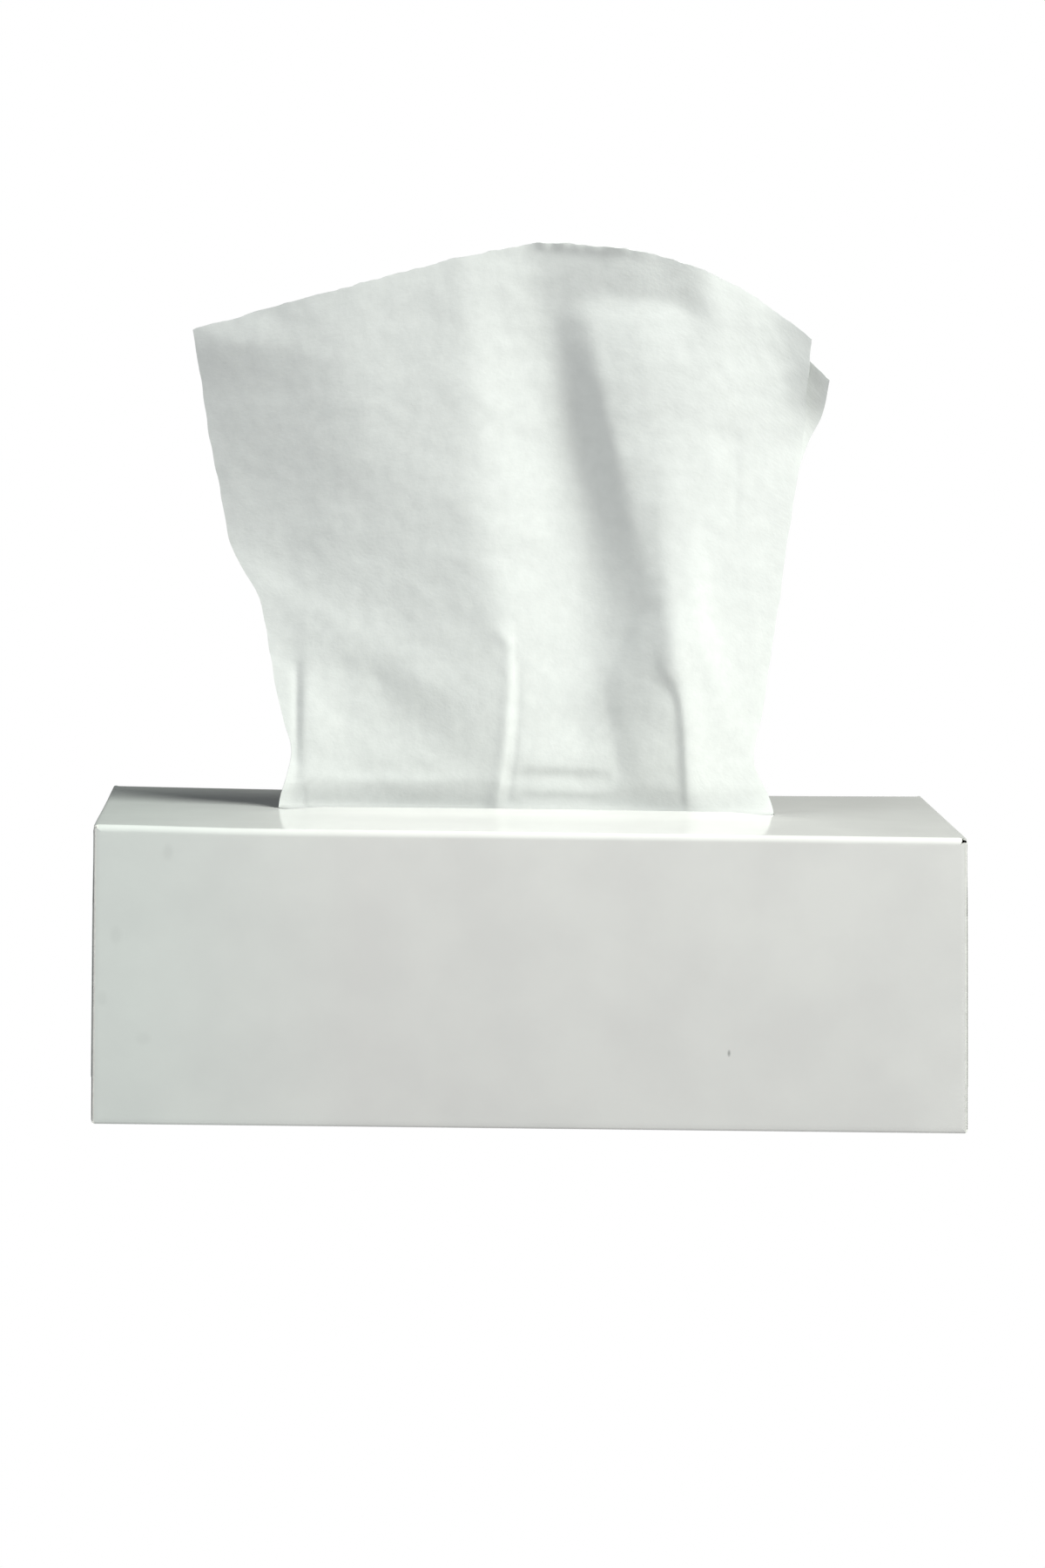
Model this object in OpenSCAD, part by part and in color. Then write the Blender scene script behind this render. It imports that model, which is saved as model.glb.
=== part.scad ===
// Flat carton of facial tissues, one two-ply sheet standing out of its slot.
// Millimetres. The origin is the middle of the underside: +X along the slot, +Y away from the front, +Z up.

/* [Carton] */
// Length of the front panel between its end folds
box_l = 230; // [190:1:280]
// Depth of the carton, front to back
box_d = 116; // [95:1:160]
// Height of the carton
box_h = 78.5; // [60:0.5:120]
// Thickness of the board
board_t = 0.5; // [0.3:0.05:0.8]
// Outside radius of every fold
fold_r = 1.8; // [1.2:0.1:3]
// Distance from the edge of the top panel's end flap to the underside
top_flap_gap = 12.5; // [2:0.5:30]
// Distance from the edge of the bottom panel's end flap to the top
bottom_flap_gap = 20.5; // [2:0.5:30]
// Distance between the front and back dust flaps
dust_flap_gap = 32; // [2:1:60]
// Space between an end flap's side and the carton's face
flap_side_gap = 1.2; // [0.5:0.1:4]
// Width of the lap glued inside the back panel
lap_w = 14; // [8:1:25]

/* [Slot] */
// Length of the slot in the top panel
slot_l = 135; // [110:1:160]
// Width of the slot
slot_w = 24; // [18:1:34]
// Radius of the slot's corners
slot_r = 6; // [2:0.5:8]
// Spacing of the torn perforation's nibs
nib_pitch = 5; // [3:0.5:12]
// Width of a nib at the slot's edge
nib_w = 1.2; // [0.5:0.1:2]
// Length of a nib
nib_l = 0.6; // [0.3:0.1:1]

/* [Tissue stack] */
// Clear height between the stack and the top panel
head_space = 15; // [11:1:30]
// Space between the stack and the front and back panels
stack_side_gap = 5; // [2:0.5:12]
// Space between the stack and the dust flaps
stack_end_gap = 9.5; // [2:0.5:20]
// Radius of the stack's folded edges
stack_edge_r = 3; // [1:0.5:6]

/* [Standing tissue] */
// Height of the sheet's peak over the top panel
peak_h = 155; // [140:1:175]
// Height of the front ply's left corner over the top panel
left_corner_h = 129.5; // [115:0.5:140]
// Height of the front ply's right corner over the top panel
right_corner_h = 130; // [118:0.5:140]
// How much lower the back ply's left corner hangs
left_corner_drop = 3.5; // [0:0.5:8]
// How much lower the back ply's right corner hangs
right_corner_drop = 12; // [0:0.5:16]
// How far the back ply's right corner stands out past the front ply's
right_corner_out = 4; // [0:0.5:8]
// Space between the sheet's sides and the ends of the slot
slot_end_gap = 1.5; // [1:0.1:5]
// Space left for fingers between the sheet's folds and the slot's long sides
finger_gap = 6.5; // [4:0.5:8]
// Thickness of one ply, as a loose puffed layer
ply_t = 0.4; // [0.2:0.05:0.6]
// Space between the plies over most of the sheet
ply_gap = 0.4; // [0.3:0.05:0.8]
// Further space between the plies at the top edge
ply_spread = 1.5; // [1:0.1:4]
// Radius of the bend where the sheet turns back onto the stack
tail_r = 6; // [3:0.5:8]
// Distance from the sheet's lower edge to the back of the stack
tail_margin = 6; // [3:0.5:20]
// Distance from the sheet's sides to the ends of the stack, at its lower edge
tail_inset = 5; // [2:0.5:20]

/* [Hidden] */

$fn = 48;
board_white = [0.86, 0.88, 0.85];
tissue_white = [0.95, 0.97, 0.94];
// Overlap that welds one stretch of the blank to the next
weld = 1;
// Space under the sheet where it lies on the stack
rest_gap = 0.2;

inner_r = fold_r - board_t;
tube_l = box_l - 2 * fold_r;
flap_w = box_d - 2 * flap_side_gap;
top_flap_h = box_h - top_flap_gap;
bottom_flap_h = box_h - bottom_flap_gap;
dust_flap_l = (box_d - dust_flap_gap) / 2;
stack_l = box_l - 2 * board_t - 2 * stack_end_gap;
stack_d = box_d - 2 * board_t - 2 * stack_side_gap;
stack_h = box_h - 2 * board_t - head_space;
stack_top = board_t + stack_h;

// Fold lines of the standing sheet, from left to right. Each has a place along X and a depth along Y
// at every height in the list, and the radius to which the fold is rounded there.
fold_heights = [0, 20, 40, 60, 85, 110, 135, 155];
left_y = [1, 0, 4, 8, 11, 11, 9, 8];
ridge_x = [-7, -4, -4, -9, -13, -14, -16, -17];
ridge_y = [-2, -6, -7.5, -8.5, -10, -11, -11, -10];
ridge_r = [2, 2, 3, 8, 10, 9, 7, 7];
valley_x = [21, 21, 22, 22, 17, 9, 2, -2];
valley_y = [2, 2.5, 3, 4, 2, 0, -4, -8.5];
valley_r = [5, 5, 6, 7, 7, 7, 7, 8];
crest_x = [44, 43, 40, 34, 27.5, 19.5, 10, 6];
crest_y = [-2, -4.5, -5, -5, -6, -8, -9.5, -10];
crest_r = [2, 2, 2, 2.5, 3, 3, 3, 6];
panel_x = [56, 52, 47, 44, 43, 45, 44, 42];
panel_y = [-1, -2.5, -3.5, -4, -4.5, -5, -7, -8];
panel_r = [3, 3, 3, 3, 6, 8, 6, 6];
right_x = [68, 67, 69, 72, 75, 78, 80, 82];
right_y = [3, 3, 4.5, 6, 7, 6.5, 5, 4];
// Place along X at which the depths of the left side are given
left_x = -80;
// Rounding of the lines between two heights
line_r = 14;
// Greatest depth of the folds at the slot, and the height at which they have their own depth
foot_depth = 5.5;
foot_h = 40;

// Shorter folds. A pair of values gives the places between which a fold grows in or dies out.
// Top edge that leans forward as a hood between the ridge and the right panel
hood_lean = 0.3;
hood_h = 140;
hood_r = 4;
hood_from = [-8, 14];
hood_to = [30, 48];
// Upper right corner that turns forward past a slanting line
turn_lean = 0.55;
turn_x = 79;
turn_slant = 0.1;
turn_r = 4;
turn_from = [85, 115];
// Crease across the upper left corner, which falls to the right
crease_depth = 1.8;
crease_h = 112;
crease_slant = 0.1;
crease_half = 8;
crease_to = [-88, -42];
// Lower left part that comes forward below a line falling to the right
slant_lean = 0.1;
slant_h = 22;
slant_fall = 0.56;
slant_r = 6;
slant_to = [-26, -6];
// Roll over the front edge of the slot
roll_depth = 1.6;
roll_h = 11;
roll_half = 7;
roll_to = [10, 30];
// Raised panel between the two low creases on the right
low_depth = 1.2;
low_x = 33;
low_half = 7;
low_from = [0, 12];
low_to = [26, 42];

// Sides of the sheet: how far each stands out past the end of the slot, at heights over the top panel
left_side = [[0, 0], [14, -2], [56, 6.5], [70, 15.5], [100, 21.5], [130, 26.5]];
right_side = [[0, 0], [12, -5], [60, 2], [100, 7.5], [130, 9]];
side_r = 5;
// Top edge: share of the way from the left corner to the right, and of the rise from the corners to the peak
top_edge = [[0, 0], [0.25, 0.47], [0.43, 0.8], [0.56, 1], [0.7, 0.95], [0.8, 0.8], [0.91, 0.45], [1, 0]];
top_edge_r = 0.03;
// Where the plies part: shares of the height, and of the way across at the left and right corners
part_up = [0.7, 1];
part_left = [0, 0.4];
part_right = [0.8, 1];

// Cells of the sheet's net: across, up the standing part, and along the drop, bend and flat of the tail
cols = 38;
up_rows = 22;
drop_rows = 2;
bend_rows = 4;
flat_rows = 2;

function hinge(t, r) = (t + sqrt(t * t + r * r)) / 2;
function ease(t) = let (c = min(max(t, 0), 1)) c * c * (3 - 2 * c);
function bump(t) = exp(-t * t);
function mix(a, b, t) = a + (b - a) * t;
function rise(t, span) = ease((t - span[0]) / (span[1] - span[0]));
function fall(t, span) = 1 - rise(t, span);

// Adds the bend at each inner point of a line, from the given one on
function bends(t, keys, values, radii, i) =
    i > len(keys) - 2 ? 0 :
    let (before = (values[i] - values[i - 1]) / (keys[i] - keys[i - 1]))
    let (after = (values[i + 1] - values[i]) / (keys[i + 1] - keys[i]))
    (after - before) * hinge(t - keys[i], radii[i]) + bends(t, keys, values, radii, i + 1);

// A line through points with its corners rounded
function bent(t, keys, values, radii) =
    values[0] + (t - keys[0]) * (values[1] - values[0]) / (keys[1] - keys[0])
    + bends(t, keys, values, radii, 1);

function same(n, value) = [for (i = [1:n]) value];
function column(points, k) = [for (p = points) p[k]];
function rounded_line(t, points, r) = bent(t, column(points, 0), column(points, 1), same(len(points), r));
function at(h, values) = bent(h, fold_heights, values, same(len(values), line_r));

// Depth of the folds that run from the slot to the top edge
function long_folds(x, h) =
    let (keys = concat(left_x, [for (line = [ridge_x, valley_x, crest_x, panel_x, right_x]) at(h, line)]))
    let (depths = [for (line = [left_y, ridge_y, valley_y, crest_y, panel_y, right_y]) at(h, line)])
    let (radii = concat(0, [for (line = [ridge_r, valley_r, crest_r, panel_r]) at(h, line)], 0))
    bent(x, keys, depths, radii);

function hood(x, h) = -hood_lean * hinge(h - hood_h, hood_r) * rise(x, hood_from) * fall(x, hood_to);
function right_turn(x, h) = -turn_lean * hinge(x - turn_x + turn_slant * h, turn_r) * rise(h, turn_from);
function left_crease(x, h) =
    -crease_depth * bump((h - crease_h + crease_slant * x) / crease_half) * fall(x, crease_to);
function left_slant(x, h) = -slant_lean * hinge(slant_h - slant_fall * x - h, slant_r) * fall(x, slant_to);
function slot_roll(x, h) = -roll_depth * bump((h - roll_h) / roll_half) * fall(x, roll_to);
function low_panel(x, h) =
    -low_depth * bump((x - low_x) / low_half) * rise(h, low_from) * fall(h, low_to);

// Depth of the sheet's middle, less at the slot so that the folds pass through it
function sheet_y(x, h) =
    let (foot = (slot_w / 2 - finger_gap) / foot_depth)
    let (folds = long_folds(x, h) + hood(x, h) + right_turn(x, h) + left_crease(x, h) + left_slant(x, h)
        + slot_roll(x, h) + low_panel(x, h))
    mix(foot, 1, ease(h / foot_h)) * folds;

half_foot = slot_l / 2 - slot_end_gap;
function left_edge(h) = -half_foot - rounded_line(h, left_side, side_r);
function right_edge(h) = half_foot + rounded_line(h, right_side, side_r);

// Height of a point of the standing sheet: u from left to right, v from the slot to the top edge
function sheet_h(u, v, back) =
    let (corner = mix(left_corner_h, right_corner_h, u))
    let (drop = left_corner_drop * fall(u, part_left) + right_corner_drop * rise(u, part_right))
    v * mix(corner, peak_h, rounded_line(u, top_edge, top_edge_r)) - back * drop * rise(v, part_up);

// The tail: straight down from the slot, round the bend and back along the top of the stack
tail_z = stack_top + rest_gap + ply_t + ply_gap / 2;
drop_l = box_h - tail_z - tail_r;
bend_l = tail_r * PI / 2;
flat_l = stack_d / 2 - tail_margin - tail_r;
tail_l = drop_l + bend_l + flat_l;
half_tail = stack_l / 2 - tail_inset;
function tail_turn(s) = 90 * min(max((s - drop_l) / bend_l, 0), 1);
function tail_path(s) =
    let (turn = tail_turn(s))
    let (flat = max(s - drop_l - bend_l, 0))
    [tail_r * (1 - cos(turn)) + flat, box_h - min(s, drop_l) - tail_r * sin(turn)];

// A point of one face of a ply. The offset is measured from the sheet's middle, along the sheet's normal.
function standing_point(u, v, offset, back) =
    let (h = sheet_h(u, v, back))
    let (parting = back * rise(v, part_up))
    let (x = mix(left_edge(h), right_edge(h), u) + parting * right_corner_out * rise(u, part_right))
    [x, sheet_y(x, h) + offset + parting * ply_spread, box_h + h];

function tail_point(u, s, offset) =
    let (path = tail_path(s))
    let (half = mix(half_foot, half_tail, ease(s / tail_l)))
    let (x = mix(-half, half, u))
    let (fold = sheet_y(x * half_foot / half, 0) * (1 - ease(s / drop_l)))
    let (turn = tail_turn(s))
    [x, path[0] + fold + offset * cos(turn), path[1] + offset * sin(turn)];

tail_steps = concat(
    [for (k = [1:drop_rows]) drop_l * k / drop_rows],
    [for (k = [1:bend_rows]) drop_l + bend_l * k / bend_rows],
    [for (k = [1:flat_rows]) drop_l + bend_l + flat_l * k / flat_rows]);
rows = up_rows + len(tail_steps);

// One face of a ply, row by row from the top edge to the end of the tail
function face_points(offset, back) = concat(
    [for (j = [0:up_rows]) for (i = [0:cols]) standing_point(i / cols, 1 - j / up_rows, offset, back)],
    [for (s = tail_steps) for (i = [0:cols]) tail_point(i / cols, s, offset)]);

function quad(a, b, c, d) = [[a, b, c], [a, c, d]];

// A closed sheet between two faces, the first of them towards the front
module sheet_solid(front_face, back_face) {
    n = len(front_face);
    w = cols + 1;
    fronts = [
        for (j = [0:rows - 1]) for (i = [0:cols - 1])
            let (p = j * w + i) each quad(p, p + 1, p + w + 1, p + w)];
    backs = [for (f = fronts) [f[0] + n, f[2] + n, f[1] + n]];
    top = [for (i = [0:cols - 1]) each quad(i + 1, i, i + n, i + 1 + n)];
    bottom = [for (i = [0:cols - 1]) let (p = rows * w + i) each quad(p, p + 1, p + 1 + n, p + n)];
    left = [for (j = [0:rows - 1]) let (p = j * w) each quad(p, p + w, p + w + n, p + n)];
    right = [for (j = [0:rows - 1]) let (p = j * w + cols) each quad(p + w, p, p + n, p + w + n)];
    polyhedron(concat(front_face, back_face), concat(fronts, backs, top, bottom, left, right));
}

// Rectangle with rounded corners, standing on the first axis
module rounded_slab(width, height, r) {
    translate([-width / 2, r])
        square([width, height - 2 * r]);
    translate([-width / 2 + r, 0])
        square([width - 2 * r, height]);
    for (x = [-1, 1], y = [r, height - r])
        translate([x * (width / 2 - r), y])
            circle(r);
}

// Extrusion along X of an outline drawn in Y and Z
module along_x(length) {
    rotate([90, 0, 90])
        linear_extrude(height = length, center = true)
            children();
}

// The four long panels with their rounded folds, the raw edge of the back panel and the glued lap inside it
module panels() {
    along_x(tube_l)
        difference() {
            rounded_slab(box_d, box_h, fold_r);
            translate([0, board_t])
                rounded_slab(box_d - 2 * board_t, box_h - 2 * board_t, inner_r);
            translate([box_d / 2 - board_t, 0])
                square([board_t, fold_r]);
        }
    translate([-tube_l / 2, box_d / 2 - 2 * board_t, board_t / 2])
        cube([tube_l, board_t, lap_w]);
}

// Strip of board that runs along, turns through a right angle at a fold and goes on as a flap
module folded_strip(width, flap) {
    linear_extrude(height = width, center = true) {
        translate([-weld, -board_t])
            square([weld, board_t]);
        intersection() {
            difference() {
                translate([0, -fold_r])
                    circle(fold_r);
                translate([0, -fold_r])
                    circle(inner_r);
            }
            translate([0, -fold_r])
                square(fold_r);
        }
        translate([inner_r, -flap])
            square([board_t, flap - fold_r]);
    }
}

// End flap of the top or bottom panel, folded over the other flaps by a number of layers
module end_flap(flap, layers) {
    reach = layers * board_t;
    translate([box_l / 2 + reach - fold_r, 0, 0])
        rotate([90, 0, 0])
            folded_strip(flap_w, flap);
    translate([tube_l / 2 - weld, -flap_w / 2 + fold_r, -board_t])
        cube([weld + reach, flap_w - 2 * fold_r, board_t]);
}

// Dust flap at the end of the front panel
module dust_flap() {
    translate([tube_l / 2, -box_d / 2, box_h / 2])
        mirror([0, 1, 0])
            folded_strip(box_h - 2 * fold_r, dust_flap_l);
}

// All flaps of one end
module end_closure() {
    translate([0, 0, box_h])
        end_flap(top_flap_h, 2);
    mirror([0, 0, 1])
        end_flap(bottom_flap_h, 1);
    for (side = [0, 1])
        mirror([0, side, 0])
            dust_flap();
}

// The slot with the nibs that its torn perforation leaves on both long sides
module slot_cut() {
    nib_span = slot_l - 2 * slot_r - nib_w;
    nibs = floor(nib_span / nib_pitch);
    translate([0, 0, box_h - 2 * board_t])
        linear_extrude(height = 3 * board_t)
            difference() {
                translate([0, -slot_w / 2])
                    rounded_slab(slot_l, slot_w, slot_r);
                for (k = [0:nibs], side = [-1, 1])
                    translate([(k - nibs / 2) * nib_pitch, side * slot_w / 2])
                        square([nib_w, 2 * nib_l], center = true);
            }
}

module carton() {
    color(board_white)
        difference() {
            union() {
                panels();
                for (side = [0, 1])
                    mirror([side, 0, 0])
                        end_closure();
            }
            slot_cut();
        }
}

module tissue_stack() {
    color(tissue_white)
        translate([0, 0, board_t])
            along_x(stack_l)
                rounded_slab(stack_d, stack_h, stack_edge_r);
}

module front_ply() {
    inner = -ply_gap / 2;
    color(tissue_white)
        sheet_solid(face_points(inner - ply_t, 0), face_points(inner, 0));
}

module back_ply() {
    inner = ply_gap / 2;
    color(tissue_white)
        sheet_solid(face_points(inner, 1), face_points(inner + ply_t, 1));
}

carton();
tissue_stack();
front_ply();
back_ply();
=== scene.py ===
import math

import bmesh
import bpy
import numpy as np
from mathutils import Matrix, Vector, noise


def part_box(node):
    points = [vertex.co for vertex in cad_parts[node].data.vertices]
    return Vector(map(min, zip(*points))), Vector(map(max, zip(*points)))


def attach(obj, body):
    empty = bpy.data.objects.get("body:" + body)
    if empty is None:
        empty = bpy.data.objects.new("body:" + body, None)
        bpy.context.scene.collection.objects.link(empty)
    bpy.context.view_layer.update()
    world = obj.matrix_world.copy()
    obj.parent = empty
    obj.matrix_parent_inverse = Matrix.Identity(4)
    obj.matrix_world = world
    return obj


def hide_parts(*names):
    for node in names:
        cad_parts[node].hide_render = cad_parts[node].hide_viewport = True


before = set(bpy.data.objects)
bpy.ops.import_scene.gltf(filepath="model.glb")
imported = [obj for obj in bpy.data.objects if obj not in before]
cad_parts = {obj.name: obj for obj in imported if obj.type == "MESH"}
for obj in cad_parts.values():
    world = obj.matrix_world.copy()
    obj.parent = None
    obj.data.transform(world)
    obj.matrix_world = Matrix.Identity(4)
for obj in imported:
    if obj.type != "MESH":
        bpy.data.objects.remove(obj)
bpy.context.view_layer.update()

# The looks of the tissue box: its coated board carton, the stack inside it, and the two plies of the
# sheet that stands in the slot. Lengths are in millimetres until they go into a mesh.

MM = 0.001
# Points closer than this, in metres, are one point
MERGE = 1e-6
# A point this close to a size, in millimetres, lies on it
NEAR = 0.05


def millimetres(length):
    return round(length / MM, 3)


# Carton, with two flaps of board on each end
carton_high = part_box("carton")[1]
BOARD_T = 0.5
FOLD_R = 1.8
CARTON_HALF_L = millimetres(carton_high.x) - 2 * BOARD_T
CARTON_HALF_D = millimetres(carton_high.y)
CARTON_H = millimetres(carton_high.z)
SLOT_HALF_L = 67.5
SLOT_HALF_W = 12

# Stack of folded sheets: its layers and the columns and rows that it is cut in, and how far the edges
# of its layers lie back from its box
STACK_TOP = millimetres(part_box("tissue_stack")[1].z)
STACK_EDGE_R = 3
STACK_EDGE_STEPS = 4
STACK_LAYERS = 60
STACK_COLUMNS = 40
STACK_ROWS = 20
STACK_END_INSET = 1.2
STACK_SIDE_INSET = 0.8
LAYER_WAVES = 18
LAYER_SHIFT = 0.7

# Angle in degrees over which an edge is shaded as sharp
PAPER_SHARP = 60
STACK_SHARP = 50
BOARD_SHARP = 35


# Curves that the folds are drawn with

def ease(t):
    t = np.clip(t, 0, 1)
    return t * t * (3 - 2 * t)


def rise(t, span):
    return ease((t - span[0]) / (span[1] - span[0]))


def fall(t, span):
    return 1 - rise(t, span)


def bump(t):
    return np.exp(-t * t)


def mix(a, b, share):
    return a + (b - a) * share


def hinge(t, radius):
    """Zero before a corner and straight up after it, with the corner rounded."""
    return (t + np.sqrt(t * t + radius * radius)) / 2


def bent(t, keys, values, radii):
    """A line through points, with each corner rounded by its own radius."""
    spans = range(len(keys) - 1)
    slopes = [(values[i + 1] - values[i]) / (keys[i + 1] - keys[i]) for i in spans]
    line = values[0] + (t - keys[0]) * slopes[0]
    for i in spans[1:]:
        line = line + (slopes[i] - slopes[i - 1]) * hinge(t - keys[i], radii[i])
    return line


def rounded_line(t, points, radius):
    keys, values = zip(*points)
    return bent(t, keys, values, [radius] * len(points))


def smooth_path(points, steps=6):
    """Points along a curve that passes through the given ones."""
    p = np.array(points, float)
    p = np.vstack([2 * p[0] - p[1], p, 2 * p[-1] - p[-2]])
    t = np.linspace(0, 1, steps, endpoint=False)[:, None]
    runs = []
    for a, b, c, d in zip(p, p[1:], p[2:], p[3:]):
        curve = b + t * (c - a) / 2 + t ** 2 * (2 * a - 5 * b + 4 * c - d) / 2
        runs.append(curve + t ** 3 * (3 * b - a - 3 * c + d) / 2)
    return np.vstack(runs + [p[-2:-1]])


def stroke(x, h, points, left, right):
    """A crease pressed along a path of (x, height, depth), fading over its own width on each side."""
    path = smooth_path(points)
    nearest = np.full(x.shape, np.inf)
    offset = np.zeros(x.shape)
    depth = np.zeros(x.shape)
    for (ax, ah, ad), (bx, bh, bd) in zip(path, path[1:]):
        run_x, run_h = bx - ax, bh - ah
        length = math.hypot(run_x, run_h)
        along = np.clip(((x - ax) * run_x + (h - ah) * run_h) / length ** 2, 0, 1)
        away_x, away_h = x - ax - along * run_x, h - ah - along * run_h
        away = np.hypot(away_x, away_h)
        closer = away < nearest
        side = np.where(run_h * away_x - run_x * away_h < 0, -1, 1)
        nearest = np.where(closer, away, nearest)
        offset = np.where(closer, away * side, offset)
        depth = np.where(closer, mix(ad, bd, along), depth)
    return depth * bump(offset / np.where(offset < 0, left, right))


# Standing sheet: long fold lines from its left side to its right, each by x, depth and the radius it is
# rounded with, at heights over the top panel
FOLD_HEIGHTS = [0, 20, 40, 60, 85, 110, 135, 155]
LINE_R = 14
LEAST_FOLD_R = 1
LEFT_X = [-80] * len(FOLD_HEIGHTS)
LEFT_Y = [-5, -3, 1.5, 6.5, 6, 4.5, 3, 2.5]
WING_X = [-48, -48, -48, -47, -47, -54, -58, -58]
WING_Y = [-1.5, 0.8, 1, 0.2, -3, -4.6, -4.4, -3.6]
WING_R = [12] * len(FOLD_HEIGHTS)
RIDGE_X = [-8.5, -6.4, -6, -11, -13.5, -15, -20, -21]
RIDGE_Y = [-4.6, -4.8, -5.2, -6, -6, -5.8, -6.4, -6.6]
RIDGE_R = [1.5, 1.5, 2, 4, 8, 5, 2.5, 2.5]
VALLEY_X = [19, 11, 11, 22, 17, 13.4, 5, 0]
VALLEY_Y = [-4.8, -2.4, -0.4, 2.6, 3.8, 3.8, -1.5, -5.6]
VALLEY_R = [7, 10, 10, 8, 5, 4, 5, 7]
RIM_X = [37, 38, 38.5, 34.6, 25.2, 17.9, 12.6, 9]
RIM_Y = [-6.2, -9, -10.2, -6.8, -5.2, -7, -5.4, -6.2]
RIM_R = [3, 2, 2, 3, 2.5, 2.5, 3, 5]
CREST_X = [44, 43.5, 42, 38.5, 36, 33, 30, 28]
CREST_Y = [-7.6, -8.8, -9.8, -7.4, -6.6, -7.2, -8, -8.5]
CREST_R = [2, 2, 2, 2, 2, 4, 6, 6]
PANEL_X = [56, 52, 50, 48, 47, 46, 46, 46]
PANEL_Y = [-5.4, -5.2, -5.6, -5.2, -5, -5.8, -6.8, -7.8]
PANEL_R = [4] * len(FOLD_HEIGHTS)
RIGHT_X = [68, 67, 69, 72, 75, 78, 80, 82]
RIGHT_Y = [-4, -0.4, 0.6, 1.6, 2.6, 3.4, 2.6, 0.8]

# Outline of the standing sheet: how far its sides stand outside its foot by height, and its top edge
# by the share of its width, from the line between its corners (0) to its peak (1)
HALF_FOOT = 66
LEFT_SIDE = [
    (0, 1.6), (4, 1), (15, -2.6), (26, 1), (36, 3.5), (56, 6.5), (70, 15.5), (100, 21.5), (130, 26.5),
]
RIGHT_SIDE = [
    (0, 1.6), (3, 1.6), (15, -5.6), (28, -2), (41, -0.4), (60, 2.2), (80, 4.6), (100, 7.7), (130, 9),
]
SIDE_R = 3
TOP_EDGE = [(0, 0), (0.25, 0.47), (0.43, 0.8), (0.56, 1), (0.7, 0.95), (0.8, 0.8), (0.91, 0.45), (1, 0)]
TOP_EDGE_R = 0.03
PEAK_H = 155
LEFT_CORNER_H = 129.5
RIGHT_CORNER_H = 130

# Back ply: where it parts from the front one near the top, how far its corners hang lower and stand
# further out, and the gap between the plies
PART_UP = (0.7, 1)
PART_LEFT = (0, 0.4)
PART_RIGHT = (0.8, 1)
LEFT_CORNER_DROP = 3.5
RIGHT_CORNER_DROP = 11
RIGHT_CORNER_OUT = 6
PLY_GAP = 0.8
PLY_SPREAD = 1.5

# Edges of the sheet: their waves, and the part of the top edge that curls forward
EDGE_WAVE = 0.5
TOP_WAVES = [(1, 9, 13), (0.6, 3, 17)]
SIDE_WAVE_L = 7
LEFT_SEED = 19
RIGHT_SEED = 23
EDGE_CURL = 0.6
EDGE_CURL_H = 1.6
CURL_LEFT = (-4, 4)
CURL_RIGHT = (20, 32)
RAG_L = 3
RAG_SEED = 5

# Crumpling over the whole sheet, from the height where it is free of the slot: depth, size and seed
FREE_H = 12
DENTS = [(0.5, 24, 3), (0.2, 10, 7), (0.08, 4, 11)]

# The flat sheet, its thickness, and the columns, standing rows and tail rows of each ply
SHEET_W = 200
SHEET_L = 210
SHEET_FLAT = (SHEET_W * MM, SHEET_L * MM)
PAPER_T = 0.3
FRONT_GRID = (200, 190, 46)
BACK_GRID = (160, 150, 40)

# Part of the sheet that hangs into the carton and lies on the stack
TAIL_LIFT = 0.8
TAIL_Z = STACK_TOP + TAIL_LIFT
TAIL_R = 6
DROP_L = CARTON_H - TAIL_Z - TAIL_R
BEND_L = TAIL_R * math.pi / 2
FLAT_L = 40.5
TAIL_L = DROP_L + BEND_L + FLAT_L
HALF_TAIL = SHEET_W / 2

# Hood: the paper swells back under the top edge and tucks forward over a line that falls to the right
HOOD_SWELL = 0.1
HOOD_SWELL_H = 124
HOOD_SWELL_R = 4
HOOD_TUCK = 0.26
HOOD_TUCK_H = 140
HOOD_TUCK_R = 1.5
HOOD_SLANT = 0.5
HOOD_SLANT_X = 35
HOOD_SLANT_R = 3
HOOD_LEFT = (-6, 22)
HOOD_RIGHT = (40, 52)

# Right side turned forward near the top, and the crease across the left corner
RIGHT_TURN = 0.5
RIGHT_TURN_X = 80
RIGHT_TURN_SLANT = 0.1
RIGHT_TURN_R = 5
RIGHT_TURN_UP = (98, 124)
LEFT_CREASE = 1.5
LEFT_CREASE_H = 118
LEFT_CREASE_SLANT = 0.1
LEFT_CREASE_W = 8
LEFT_CREASE_SPAN = (-88, -42)

# Low panel between the valley and the crest, arched at its top, and the foot, which comes forward to the
# edge of the slot
LOW_PANEL = 0.4
LOW_PANEL_X = 31
LOW_PANEL_W = 5
LOW_PANEL_ARCH = 0.2
LOW_PANEL_FOOT = (2, 16)
LOW_PANEL_TOP = (30, 54)
FOOT_LIP = 0.5
FOOT_LIP_H = 1.2
FOOT_LEAN = 0.35
FOOT_LEAN_H = 3
FOOT_LEAN_TWICE = (-12, -2)

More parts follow.
